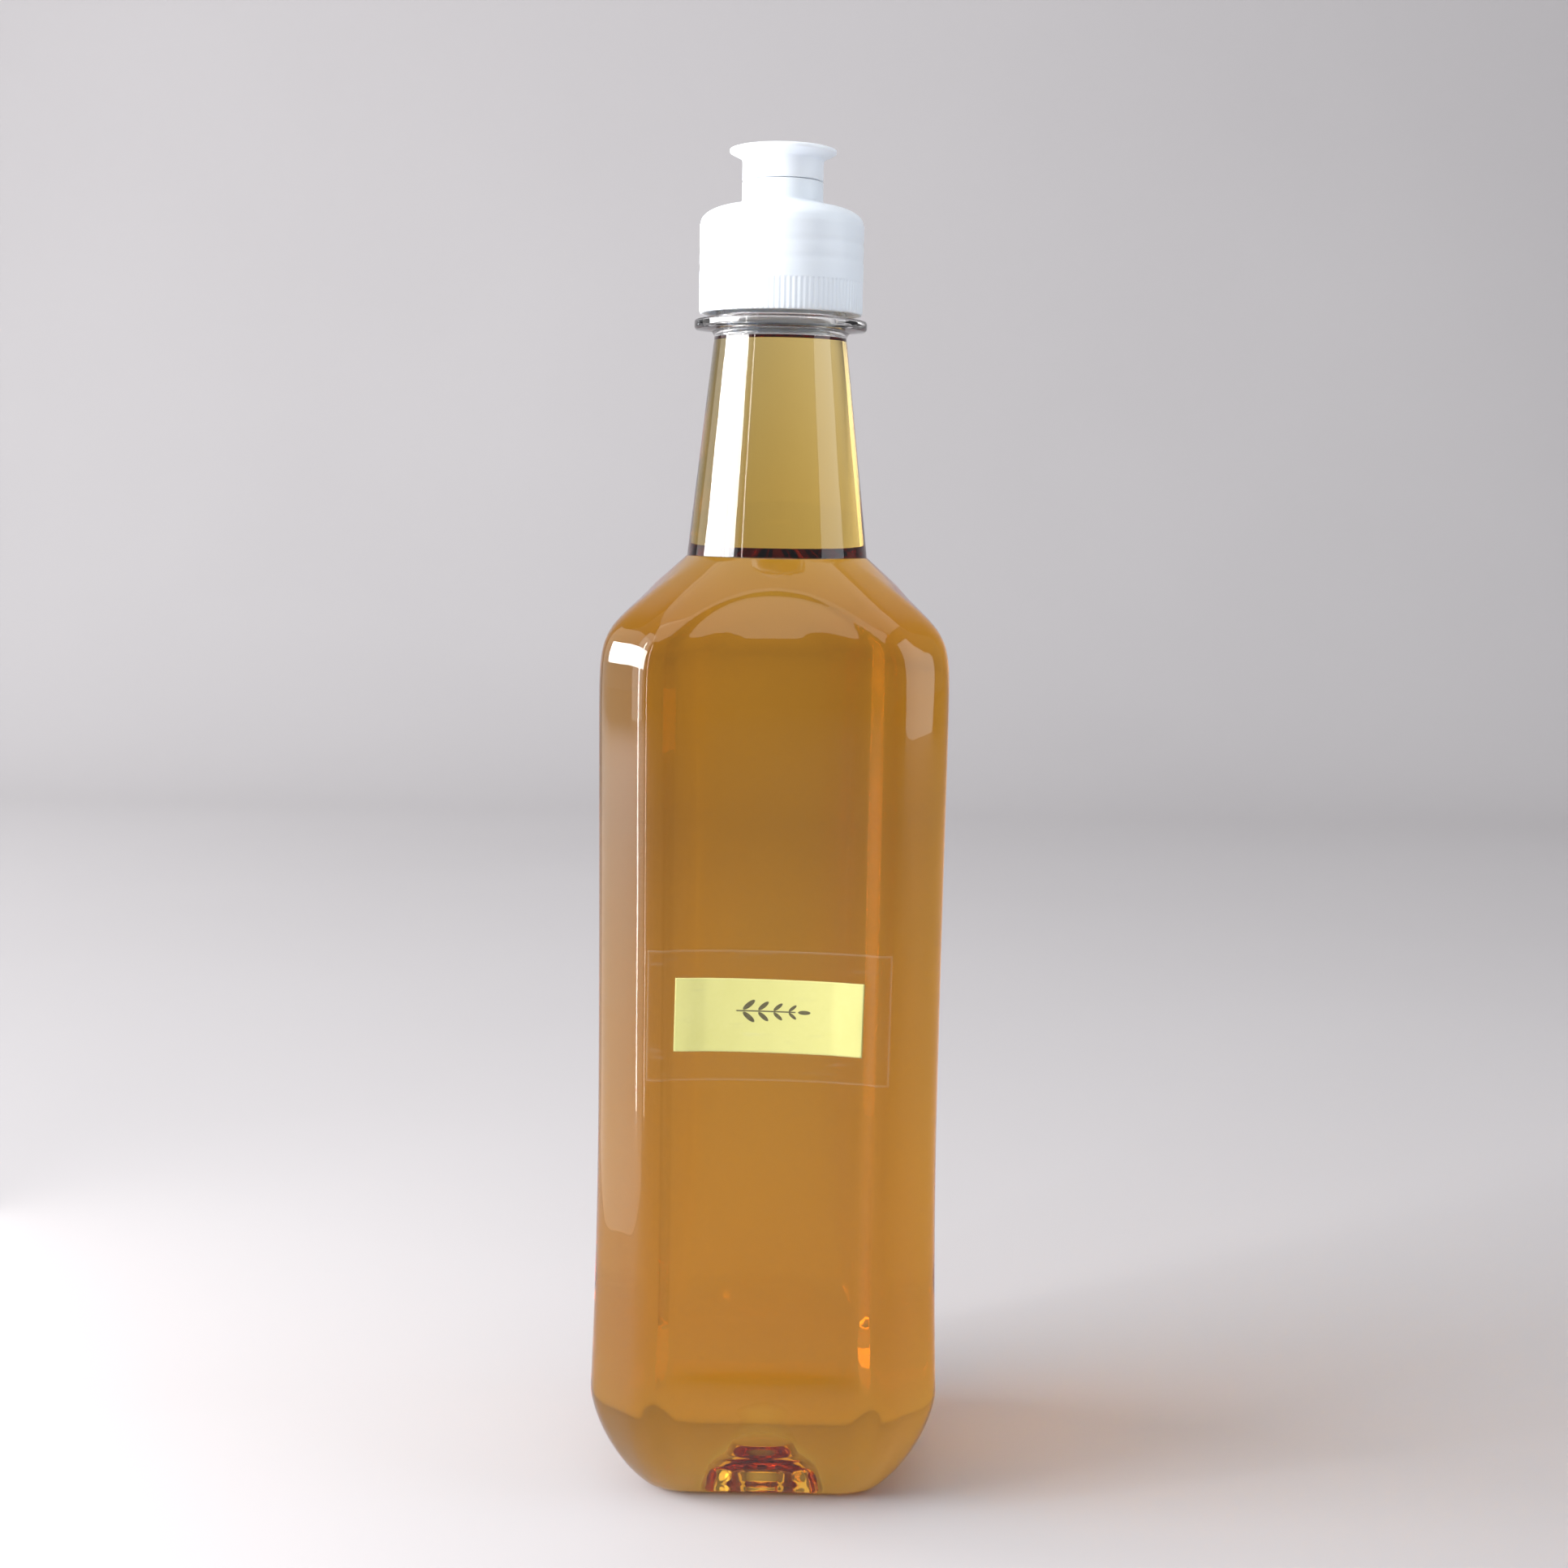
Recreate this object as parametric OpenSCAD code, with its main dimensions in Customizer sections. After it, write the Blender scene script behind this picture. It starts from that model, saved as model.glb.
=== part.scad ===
// Square oil bottle of blow-moulded clear plastic with chamfered corners, full of oil.
// It has a 28 mm threaded finish with a support ring, and a white screw cap whose spout
// pulls up to open. A small paper label is held on the front panel under clear tape.
// Millimetres, +Z up, origin at the middle of the base. The front faces -Y.

/* [Body] */
// Half of the width across the flat sides at the waist
body_half = 32.3; // [30:0.1:36]
// Extra half-width at the foot of the straight body, which flares a little
foot_flare = 1.05; // [0:0.05:1.5]
// Extra half-width at the top of the straight body
top_flare = 0.4; // [0:0.05:1]
// Half-width of each flat side, up to the first corner edge
flat_half = 21.9; // [20.5:0.1:23]
// Half-width out to the second corner edge, where the 45 degree chamfer begins
bevel_half = 24.5; // [23.5:0.1:26]
// Thickness of the bottle wall
wall = 0.8; // [0.6:0.05:1.2]
// Thickness of the bottle floor
floor_t = 1.0; // [0.8:0.05:1.4]

/* [Base] */
// Half-width of the foot just above its rounded edge
base_half = 22; // [20:0.5:24]
// Height over which the foot widens to the full body
taper_h = 21; // [16:0.5:26]
// Radius of the rounded edge that the bottle stands on
foot_round = 1.5; // [1:0.1:2]
// Radius of the push-up in the middle of the base
push_r = 15; // [12:0.5:17]
// Height of the push-up
push_h = 11; // [6:0.1:12]
// Share of the push-up's height that its two round steps climb
step_share = 0.75; // [0.5:0.05:0.8]
// Radius at the middle of the outer step
step_out_r = 12.4; // [11.8:0.1:13.2]
// Radius at the middle of the inner step
step_in_r = 7; // [5.5:0.1:7.5]
// Width over which each step climbs
step_w = 2.4; // [1.8:0.1:2.8]

/* [Shoulder and panel] */
// Height of the crease between the shoulder and the neck
crease_z = 180.8; // [176:0.1:186]
// Outer radius of the neck at the crease
crease_r = 17.4; // [16.5:0.1:18.5]
// Half-width of the sunken front panel
panel_half = 19.8; // [18:0.1:20.4]
// Depth of the step at the edge of the panel
panel_step = 1.0; // [0.4:0.05:1.4]
// Further depth of the hollow in the middle of the panel
panel_hollow = 1.5; // [0:0.1:2.5]
// Height of the top of the panel's arch
arch_top_z = 175.4; // [172:0.1:177]

/* [Neck and finish] */
// Outer radius of the neck under the support ring
neck_r = 12.64; // [12.2:0.02:13]
// Radius of the support ring
ring_r = 16.5; // [16:0.1:17]
// Height of the underside of the support ring
ring_z = 223.5; // [221:0.1:225]
// Thickness of the support ring at its edge
ring_t = 1.9; // [1.5:0.1:2.2]
// Height of the mouth
mouth_z = 243.1; // [242:0.1:244]
// Radius of the bore through the finish
bore_r = 10.87; // [10.5:0.01:11]
// Outer radius of the finish between its threads
finish_r = 12.47; // [12.3:0.01:12.6]
// Outer radius of the thread
thread_r = 13.72; // [13.5:0.01:13.8]
// Rise of the thread in one turn
pitch = 3.18; // [3:0.01:3.4]
// Height of the oil in the neck
oil_z = 221.5; // [190:0.5:222]

/* [Cap] */
// Outer radius of the cap's skirt
skirt_r = 15.6; // [15.4:0.05:15.9]
// Height of the skirt's lower rim
skirt_z = 226.55; // [226.2:0.05:227]
// Height where the skirt's straight side ends and the dome begins
dome_z = 243.4; // [243:0.1:244]
// Height of the top of the fine ribs on the lower skirt
knurl_top_z = 232.5; // [230:0.1:235]
// Number of fine ribs around the skirt
knurl_count = 96; // [60:4:108]
// Radius of the stem, the same on the fixed collar and on the sliding spout
stem_r = 7.68; // [7.4:0.02:8]
// Height of the seam between the collar and the spout
seam_z = 251.2; // [250.6:0.1:251.6]
// Radius of the flange that is gripped to pull the spout up
flange_r = 10.1; // [9.5:0.1:11]
// Height of the top of the spout, closed
top_z = 257.4; // [257:0.1:258]
// Running clearance between the spout and the surfaces it slides on
slide_gap = 0.08; // [0.05:0.01:0.1]

/* [Label] */
// Width of the paper label
label_w = 35.8; // [30:0.1:37]
// Height of the paper label
label_h = 13.9; // [10:0.1:18]
// Height of the middle of the label above the table
label_z = 96.9; // [60:0.1:140]
// Tilt of the label, clockwise seen from the front
label_tilt = 1; // [0:0.1:3]
// Width of the clear tape over the label
tape_w = 45.2; // [43:0.1:46]
// Height of the clear tape
tape_h = 24.6; // [22:0.1:27]

/* [Hidden] */
$fn = 96;

// Corner geometry: distances of the bevel and chamfer planes from the axis
bevel_d = body_half * cos(22.5) + flat_half * sin(22.5);
bevel_y = (bevel_d - bevel_half * sin(22.5)) / cos(22.5);
chamfer_d = (bevel_half + bevel_y) / sqrt(2);
base_chamfer_share = 0.72;
base_bevel_share = 0.69;
base_chamfer_d = chamfer_d * base_chamfer_share;
base_bevel_d = bevel_d * base_bevel_share;
corner_power = 70;
power_r = 30;
waist_z = 80;
flare_top_z = 161;
foot_curve = 1.5;
foot_bulge = 0.73;

// Shoulder: slope per millimetre below the crease, and how sharply it bends into the body
shoulder_slope = 0.0735;
shoulder_bend = 6;

// Facets of the moulded body: directions around it, closest together at the corners
side_angles = [-45, -37.8, -35, -32.6, -29.5, -22, -11, 0, 11, 22, 29.5, 32.6, 35, 37.8];
angles = [for (side = [0:3]) for (a = side_angles) a + side * 90];
around = len(angles);

// Heights of the rings of the outer and inner skins
foot_zs = [0, 0.5, 1.4, 3, 6, 10, 15, 21];
straight_zs = [24.3, 26.4, 50, waist_z, 115, 155, 161];
shoulder_zs = [for (d = [16.5:-1.5:1.5]) crease_z - d];
skin_zs = concat(foot_zs, straight_zs, shoulder_zs);

// The skins reach a little way up inside the neck, inside its wall
tuck = 0.35;
tuck_in = 0.12;

// Panel: the arch is part of an ellipse, and its foot is a plain sill
arch_half = 23;
arch_rise = 20.2;
arch_scale = 21;
sill_z = 24;
panel_soft = 1.6;
hollow_soft = 8;

// Cap details
liner_t = 1.0;
liner_out_r = 13.6;
liner_in_r = 8.9;
skirt_in_r = 14.05;
thread_in_r = 12.8;
knurl_depth = 0.28;
ceiling_r = 8.2;
spout_floor_z = mouth_z + 1.5;
tube_out_r = 5;
tube_in_r = 3.9;
tube_top_z = seam_z + 1.6;
sleeve_out_r = 6.3;
bead_r = 6.7;
bead_h = 1;
lip_h = 1.1;
plug_r = 1.7;
plug_top_z = top_z - 0.5;
rib_t = 0.9;

// Thread sections
thread_turns = 1.6;
thread_start_z = 231.6;
thread_step = 10;
ridge_base = 1.5;
ridge_crest = 0.7;
bury = 0.22;

// Label and tape: thicknesses, and the hair's gaps that keep the pieces apart
paper_t = 0.14;
tape_t = 0.1;
stick_gap = 0.08;
tape_over = 0.2;
tape_lap = 1.2;

// Oil: a hair's gap all round, so that it doesn't cut into the wall
oil_gap = 0.1;

// Dome of the cap
dome_rise = 3.4;
dome_edge = 0.15;

function smooth(x) = let (t = max(0, min(1, x))) t * t * (3 - 2 * t);

// Share of the way from the foot outline to the full outline
function foot_share(z) = z >= taper_h ? 1 : pow(1 - pow(1 - z / taper_h, foot_curve), foot_bulge);

// Extra half-width of the straight body, above and below its waist
function flare(z) = z < waist_z ? foot_flare * pow((waist_z - z) / (waist_z - sill_z), 2)
                                : top_flare * pow((z - waist_z) / (flare_top_z - waist_z), 2);

// Bottom edge: how far the rounded foot draws in
function foot_draw(z) = z >= foot_round ? 0
    : foot_round - sqrt(pow(foot_round, 2) - pow(foot_round - z, 2));

// Shoulder: 0 at the crease and 1 where the body is full, a straight slope that bends over
function shoulder_share(z) = let (d = max(0.01, crease_z - z) * shoulder_slope)
    pow(pow(1 / d, shoulder_bend) + 1, -1 / shoulder_bend);

// Depth of the panel at a point u across a side and at height z
function arch_inset(u, z) = let (mid_z = arch_top_z - arch_rise)
    z < mid_z ? hollow_soft + 1 : (1 - norm([u / arch_half, (z - mid_z) / arch_rise])) * arch_scale;
function panel_depth(u, z) = let (inset = min(panel_half - abs(u), arch_inset(u, z), z - sill_z))
    panel_step * smooth(inset / panel_soft)
    + panel_hollow * smooth(inset / hollow_soft) * max(0, 1 - pow(u / panel_half, 2));

// Distance from the axis of a flat side, a bevel or a chamfer, before the shoulder
function plane_d(z, foot_d, full_d) =
    foot_d + (full_d + flare(min(max(z, taper_h), flare_top_z)) - foot_d) * foot_share(z) - foot_draw(z);
function side_d(z) = plane_d(z, base_half, body_half);
function bevel_at(z) = plane_d(z, base_bevel_d, bevel_d);
function chamfer_at(z) = plane_d(z, base_chamfer_d, chamfer_d);

// One plane's pull on the outline, as a share of its distance
function pull(a, plane_a, d) = let (c = cos(a - plane_a)) c <= 0 ? 0 : pow(c * power_r / d, corner_power);

// Radius of the full outline in direction a: an intersection of planes with rounded edges
function outline(a, z, inset) = let (
        side_a = round(a / 90) * 90,
        near_a = round((a - 45) / 90) * 90 + 45,
        total = pull(a, side_a, side_d(z) - inset)
            + pull(a, side_a + 22.5, bevel_at(z)) + pull(a, side_a - 22.5, bevel_at(z))
            + pull(a, near_a, chamfer_at(z)))
    power_r * pow(total, -1 / corner_power);

// Outer radius of the moulded body in direction a at height z
function skin_r(a, z) = let (
        side_a = round(a / 90) * 90,
        share = shoulder_share(z),
        plain = crease_r + (outline(a, z, 0) - crease_r) * share,
        inset = panel_depth(plain * sin(a - side_a), z) / max(share, 0.3))
    crease_r + (outline(a, z, inset) - crease_r) * share;

// Height of the underside of the push-up at radius r: a shallow dome with two round steps
function climb(d) = max(0, min(1, d / step_w + 0.5));
function push_z(r) = r >= push_r ? 0
    : push_h * ((1 - step_share) * (1 - pow(r / push_r, 2))
        + step_share / 2 * (climb(step_in_r - r) + climb(step_out_r - r)));
push_rs = [step_in_r / 2, step_in_r - step_w / 2, step_in_r + step_w / 2,
    (step_in_r + step_out_r) / 2, step_out_r - step_w / 2, step_out_r + step_w / 2];

function ring_at(z, inset) = [for (a = angles) let (r = skin_r(a, z) - inset) [r * cos(a), r * sin(a), z]];
function round_ring(r, z) = [for (a = angles) [r * cos(a), r * sin(a), z]];

// Rings joined by triangles, open at both ends. lean picks the other diagonal, so that the
// oil, whose rings run upward, matches the facets of the wall's rings, which run downward.
function band_faces(first, count, lean) = [for (i = [0:count - 2]) for (j = [0:around - 1])
    let (k = (j + 1) % around, p = first + i * around, q = p + around)
    each (lean ? [[p + j, q + j, p + k], [q + j, q + k, p + k]]
               : [[p + j, q + j, q + k], [p + j, q + k, p + k]])];

// The outer skin's rings, from the middle of the base up to the tuck in the neck
outer_rings = concat(
    [for (r = push_rs) round_ring(r, push_z(r))],
    [round_ring(push_r, 0)],
    [for (z = skin_zs) ring_at(z, 0)],
    [round_ring(crease_r - tuck_in, crease_z)],
    [round_ring(crease_r - tuck_in, crease_z + tuck)]);

// The inner skin's rings, from the neck down to the middle of the floor
function inner_zs() = concat([floor_t], [for (z = skin_zs) if (z > floor_t + 0.8) z]);
function inner_rings(inset, lift) = concat(
    [for (r = push_rs) round_ring(r, push_z(r) + floor_t + lift)],
    [round_ring(push_r, floor_t + lift)],
    [for (z = inner_zs()) ring_at(z, inset) + [for (a = angles) [0, 0, z == floor_t ? lift : 0]]]);

// Closed solid from a stack of rings, with a middle point below and above
module stack(rings, low, high, lean = false) {
    count = len(rings);
    points = concat([for (ring = rings) each ring], [low, high]);
    total = count * around;
    bottom = [for (j = [0:around - 1]) [total, j, (j + 1) % around]];
    top = [for (j = [0:around - 1])
        [total + 1, total - around + (j + 1) % around, total - around + j]];
    polyhedron(points, concat(band_faces(0, count, lean), bottom, top), convexity = 12);
}

// Shell between two stacks of rings that are joined at the top
module shell_of(outer, inner, low, high) {
    rings = concat(outer, [for (i = [len(inner) - 1:-1:0]) inner[i]]);
    stack(rings, low, high);
}

// Helical ridge. side is 1 for a ridge on a shaft and -1 for one in a bore.
module helix_ridge(root_r, crest_r, start_z, side) {
    last = thread_turns * 360;
    function fade(a) = max(0.03, min(1, a / 30, (last - a) / 30));
    points = [for (a = [0:thread_step:last])
        let (z = start_z + pitch * a / 360, tip = root_r + (crest_r - root_r) * fade(a),
             back = root_r - side * bury)
        for (p = [[back, -ridge_base / 2], [tip, -ridge_crest / 2], [tip, ridge_crest / 2],
                  [back, ridge_base / 2]])
            [p[0] * cos(a), p[0] * sin(a), z + p[1]]];
    count = len(points) / 4;
    bands = [for (i = [0:count - 2]) for (j = [0:3])
        let (k = (j + 1) % 4, p = i * 4, q = p + 4)
        each (side > 0 ? [[p + j, p + k, q + k], [p + j, q + k, q + j]]
                       : [[p + j, q + k, p + k], [p + j, q + j, q + k]])];
    low_end = side > 0 ? [[3, 2, 1], [3, 1, 0]] : [[0, 1, 2], [0, 2, 3]];
    e = (count - 1) * 4;
    high_end = side > 0 ? [[e, e + 1, e + 2], [e, e + 2, e + 3]] : [[e + 3, e + 2, e + 1], [e + 3, e + 1, e]];
    polyhedron(points, concat(bands, low_end, high_end), convexity = 10);
}

// Neck, support ring and finish as one true turned wall
module neck_wall() {
    neck_in_r = crease_r - wall;
    rotate_extrude() polygon([
        [neck_in_r, crease_z], [crease_r, crease_z], [neck_r, ring_z - 1.2], [neck_r + 0.5, ring_z - 0.35],
        [ring_r - 0.5, ring_z], [ring_r, ring_z + 0.4], [ring_r, ring_z + ring_t - 0.2],
        [ring_r - 0.2, ring_z + ring_t], [finish_r + 0.3, ring_z + ring_t + 0.1],
        [finish_r, ring_z + ring_t + 0.5], [finish_r, mouth_z - 0.5], [finish_r - 0.4, mouth_z],
        [bore_r + 0.3, mouth_z],
        [bore_r, mouth_z - 0.3], [bore_r, ring_z - 1.5], [neck_r - wall - 0.2, ring_z - 7]]);
}

module bottle() {
    color([0.93, 0.94, 0.92, 0.35]) union() {
        shell_of(outer_rings,
            concat(inner_rings(wall, 0), [round_ring(crease_r - wall + tuck_in, crease_z)],
                [round_ring(crease_r - wall + tuck_in, crease_z + tuck)]),
            [0, 0, push_z(0)], [0, 0, push_z(0) + floor_t]);
        neck_wall();
        helix_ridge(finish_r, thread_r, thread_start_z, 1);
    }
}

module oil() {
    foot_r = crease_r - wall - oil_gap;
    top_r = bore_r - oil_gap;
    color([0.72, 0.45, 0.08, 0.7]) union() {
        stack(concat(inner_rings(wall + oil_gap, oil_gap), [round_ring(foot_r - tuck_in, crease_z)],
                [round_ring(foot_r - tuck_in - 0.1, crease_z + tuck)]),
            [0, 0, push_z(0) + floor_t + oil_gap], [0, 0, crease_z + tuck], lean = true);
        rotate_extrude() polygon([
            [0, crease_z], [foot_r, crease_z], [neck_r - wall - 0.2 - oil_gap, ring_z - 7],
            [top_r, oil_z], [0, oil_z]]);
    }
}

// Radius of the bottle's own facets at height z, a degrees from the middle of a side: a
// straight run between two directions of one ring, then between the rings below and above
function run_r(a, z) = let (
        i = max([for (j = [0:len(side_angles) - 1]) if (side_angles[j] <= a) j]),
        a0 = side_angles[i],
        a1 = i + 1 < len(side_angles) ? side_angles[i + 1] : 45,
        r0 = skin_r(a0, z),
        r1 = skin_r(a1, z))
    r0 * r1 * sin(a1 - a0) / (r0 * sin(a - a0) + r1 * sin(a1 - a));
function facet_r(a, z) = let (
        z0 = max([for (h = skin_zs) if (h <= z) h]),
        z1 = min([for (h = skin_zs) if (h > z) h]),
        r0 = run_r(a, z0))
    r0 + (run_r(a, z1) - r0) * (z - z0) / (z1 - z0);

// A point out from the front panel, u across it and at height z
function front_point(u, z, out) = let (a = atan2(u, side_d(z)), r = facet_r(a, z) + out)
    [r * sin(a), -r * cos(a), z];

// Thin sheet that follows the front of the bottle. cols and rows are distances from its middle.
// under gives how far the back of the sheet stands off the bottle at each point.
module front_sheet(cols, rows, thick, tilt, under) {
    nc = len(cols);
    nr = len(rows);
    function at(u, v, extra) = let (z = label_z + v - u * tan(tilt)) front_point(u + v * tan(tilt), z, extra);
    back = [for (v = rows) for (u = cols) at(u, v, under(u, v))];
    front = [for (v = rows) for (u = cols) at(u, v, under(u, v) + thick)];
    n = nc * nr;
    grid = [for (i = [0:nr - 2]) for (j = [0:nc - 2]) let (p = i * nc + j, q = p + nc)
        each [[p, p + 1, q + 1], [p, q + 1, q], [n + p, n + q + 1, n + p + 1], [n + p, n + q, n + q + 1]]];
    sides = concat(
        [for (j = [0:nc - 2]) each [[j, n + j, n + j + 1], [j, n + j + 1, j + 1]]],
        [for (j = [0:nc - 2]) let (p = (nr - 1) * nc + j)
            each [[p, p + 1, n + p + 1], [p, n + p + 1, n + p]]],
        [for (i = [0:nr - 2]) let (p = i * nc, q = p + nc) each [[p, q, n + q], [p, n + q, n + p]]],
        [for (i = [0:nr - 2]) let (p = i * nc + nc - 1, q = p + nc)
            each [[p, n + p, n + q], [p, n + q, q]]]);
    polyhedron(concat(back, front), [for (f = concat(grid, sides)) [f[2], f[1], f[0]]], convexity = 4);
}

// Columns of the sheets that lie along the bottle's upright facet edges
edge_cols = [for (a = [-22, -11, 0, 11, 22]) side_d(label_z) * tan(a)];
rim_col = side_d(label_z) * tan(32.6);

module label() {
    cols = concat([-label_w / 2], edge_cols, [label_w / 2]);
    rows = [-label_h / 2, 0, label_h / 2];
    color([0.95, 0.93, 0.6])
        front_sheet(cols, rows, paper_t, label_tilt, function(u, v) stick_gap);
}

module label_tape() {
    near_u = label_w / 2 + 0.1;
    near_v = label_h / 2 + 0.1;
    far_v = label_h / 2 + tape_lap;
    far_u = label_w / 2 + tape_lap;
    cols = concat([-tape_w / 2, -rim_col, -far_u, -near_u], edge_cols, [near_u, far_u, rim_col, tape_w / 2]);
    rows = [-tape_h / 2, -far_v, -near_v, 0, near_v, far_v, tape_h / 2];
    color([0.9, 0.9, 0.88, 0.3])
        front_sheet(cols, rows, tape_t, label_tilt * 0.5, function(u, v)
            (abs(u) > near_u || abs(v) > near_v) ? stick_gap : stick_gap + paper_t + tape_over);
}

module cap_liner() {
    color("whitesmoke") rotate_extrude() polygon([
        [liner_in_r, mouth_z], [liner_out_r, mouth_z], [liner_out_r, mouth_z + liner_t],
        [liner_in_r, mouth_z + liner_t]]);
}

// Dome of the cap: a quarter ellipse from the skirt up to the foot of the stem
function dome_point(t) = [stem_r + (skirt_r - dome_edge - stem_r) * cos(t), dome_z + dome_rise * sin(t)];

module cap_wall() {
    land_z = mouth_z + liner_t;
    rotate_extrude() polygon(concat(
        [[skirt_in_r, knurl_top_z - 0.01], [skirt_r, knurl_top_z - 0.01]],
        [for (t = [0:10:80]) dome_point(t)],
        [[stem_r + 0.7, dome_z + 3.6], [stem_r + 0.15, dome_z + 4.3], [stem_r, dome_z + 5],
         [stem_r, seam_z - 0.2], [stem_r - 0.2, seam_z], [sleeve_out_r + slide_gap, seam_z],
         [sleeve_out_r + slide_gap, seam_z - lip_h], [bead_r + slide_gap, seam_z - lip_h - 0.4],
         [bead_r + slide_gap, spout_floor_z], [tube_out_r, spout_floor_z], [tube_out_r, tube_top_z],
         [tube_in_r, tube_top_z], [tube_in_r, spout_floor_z - 1.2], [ceiling_r, spout_floor_z - 1.2],
         [ceiling_r, land_z], [skirt_in_r, land_z]]));
}

module cap_base() {
    color([0.93, 0.95, 0.97]) union() {
        cap_wall();
        translate([0, 0, skirt_z]) linear_extrude(knurl_top_z - skirt_z) difference() {
            circle(skirt_r);
            circle(skirt_in_r);
            for (i = [0:knurl_count - 1]) rotate(i * 360 / knurl_count) translate([skirt_r, 0])
                rotate(45) square(knurl_depth * sqrt(2), center = true);
        }
        helix_ridge(skirt_in_r, thread_in_r, thread_start_z - pitch / 2, -1);
        // Post that plugs the spout's hole, held by three ribs inside the tube
        translate([0, 0, spout_floor_z]) cylinder(r = plug_r, h = plug_top_z - spout_floor_z);
        for (i = [0:2]) rotate(i * 120) translate([0, -rib_t / 2, spout_floor_z])
            cube([tube_in_r + 0.3, rib_t, 4]);
    }
}

module pull_spout() {
    foot_z = spout_floor_z + 0.25;
    flange_z = top_z - 1.6;
    hole_r = plug_r + slide_gap;
    in_r = tube_out_r + slide_gap;
    roof_z = tube_top_z + 0.8;
    color([0.96, 0.97, 0.99]) rotate_extrude() polygon([
        [in_r, foot_z], [bead_r, foot_z], [bead_r, foot_z + bead_h - 0.4], [sleeve_out_r, foot_z + bead_h],
        [sleeve_out_r, seam_z + 0.1], [stem_r - 0.15, seam_z + 0.1], [stem_r, seam_z + 0.25],
        [stem_r, flange_z - 0.9], [stem_r + 0.5, flange_z - 0.25], [flange_r - 0.5, flange_z + 0.1],
        [flange_r, flange_z + 0.5], [flange_r, top_z - 0.6], [flange_r - 0.5, top_z],
        [hole_r + 0.4, top_z], [hole_r, top_z - 0.4], [hole_r, roof_z + 1], [in_r - 0.9, roof_z],
        [in_r, roof_z]]);
}

bottle();
oil();
label();
label_tape();
cap_liner();
cap_base();
pull_spout();
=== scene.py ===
"""A square clear-plastic oil bottle with a white push-pull cap and a taped paper label.

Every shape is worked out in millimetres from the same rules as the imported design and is
put into its mesh in metres. The bottle stands on the origin and its label faces -Y.
"""
import math

import bpy
import numpy as np
from mathutils import Matrix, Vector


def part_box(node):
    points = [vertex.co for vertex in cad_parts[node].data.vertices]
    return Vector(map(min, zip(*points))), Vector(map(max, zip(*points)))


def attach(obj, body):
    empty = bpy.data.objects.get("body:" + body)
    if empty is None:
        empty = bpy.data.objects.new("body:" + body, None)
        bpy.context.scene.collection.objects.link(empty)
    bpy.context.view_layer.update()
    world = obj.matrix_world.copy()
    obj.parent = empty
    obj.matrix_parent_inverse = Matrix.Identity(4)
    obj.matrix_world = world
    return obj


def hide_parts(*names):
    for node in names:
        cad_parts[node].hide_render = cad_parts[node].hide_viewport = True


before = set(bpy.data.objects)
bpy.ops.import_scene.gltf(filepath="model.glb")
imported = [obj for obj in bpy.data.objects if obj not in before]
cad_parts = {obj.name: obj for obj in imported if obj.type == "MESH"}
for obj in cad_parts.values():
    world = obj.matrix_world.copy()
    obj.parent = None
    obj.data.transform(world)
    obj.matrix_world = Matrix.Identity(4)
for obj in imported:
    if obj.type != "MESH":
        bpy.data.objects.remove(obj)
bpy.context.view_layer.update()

MM = 0.001


def box_mm(node):
    """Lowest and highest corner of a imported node, in millimetres."""
    low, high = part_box(node)
    return np.array(low) / MM, np.array(high) / MM


# ---------------------------------------------------------------- sizes, in millimetres
CAP_LOW, CAP_HIGH = box_mm("cap_base")
SPOUT_LOW, SPOUT_HIGH = box_mm("pull_spout")
LABEL_LOW, LABEL_HIGH = box_mm("label")

MOUTH_Z = box_mm("bottle")[1][2]
OIL_Z = box_mm("oil")[1][2]
LAND_Z = box_mm("cap_liner")[1][2]

# Body: a square with a small bevel and a 45 degree chamfer at each corner
BODY_HALF = 32.3
FOOT_FLARE = 1.05
TOP_FLARE = 0.4
FLARE_LOW_Z = 24.0
WAIST_Z = 80.0
FLARE_TOP_Z = 161.0
FLAT_HALF = 21.9
BEVEL_HALF = 24.5
WALL = 0.8
FLOOR_T = 1.0
CORNER_POWER = 110
POWER_R = 30
BEVEL_A = 22.5
BEVEL_COS, BEVEL_SIN = math.cos(math.radians(BEVEL_A)), math.sin(math.radians(BEVEL_A))
BEVEL_D = BODY_HALF * BEVEL_COS + FLAT_HALF * BEVEL_SIN
BEVEL_Y = (BEVEL_D - BEVEL_HALF * BEVEL_SIN) / BEVEL_COS
CHAMFER_D = (BEVEL_HALF + BEVEL_Y) / math.sqrt(2)

# Edge of the oil's surface, which climbs the wall
MENISCUS_H = 0.8
MENISCUS_W = 1.6
OIL_GAP = 0.02

# Base
BASE_HALF = 22.0
BASE_BEVEL_D = BEVEL_D * 0.69
BASE_CHAMFER_D = CHAMFER_D * 0.72
TAPER_H = 21.0
FOOT_CURVE = 1.5
FOOT_BULGE = 0.73
FOOT_ROUND = 1.5
PUSH_R = 15.0
PUSH_H = 11.0
PUSH_RINGS = 45
DOME_R = 13.4
DOME_POWER = 2.3
STEP_SHARE = 0.2
STEP_OUT_R = 11.4
STEP_IN_R = 6.6
STEP_W = 1.6
FILLET_SHARE = 0.03

# Shoulder and sunken panels
CREASE_Z = MOUTH_Z - 62.3
CREASE_R = 17.4
SHOULDER_SLOPE = 0.0735
SHOULDER_BEND = 6
CREASE_SOFT = 0.12
PANEL_HALF = 19.8
PANEL_STEP = 1.0
PANEL_HOLLOW = 1.5
PANEL_SOFT = 1.6
HOLLOW_SOFT = 8
ARCH_TOP_Z = CREASE_Z - 5.4
ARCH_HALF = 23.0
ARCH_RISE = 20.2
ARCH_SCALE = 21
SILL_Z = 22.5
SILL_SLOPE = 0.16

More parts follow.
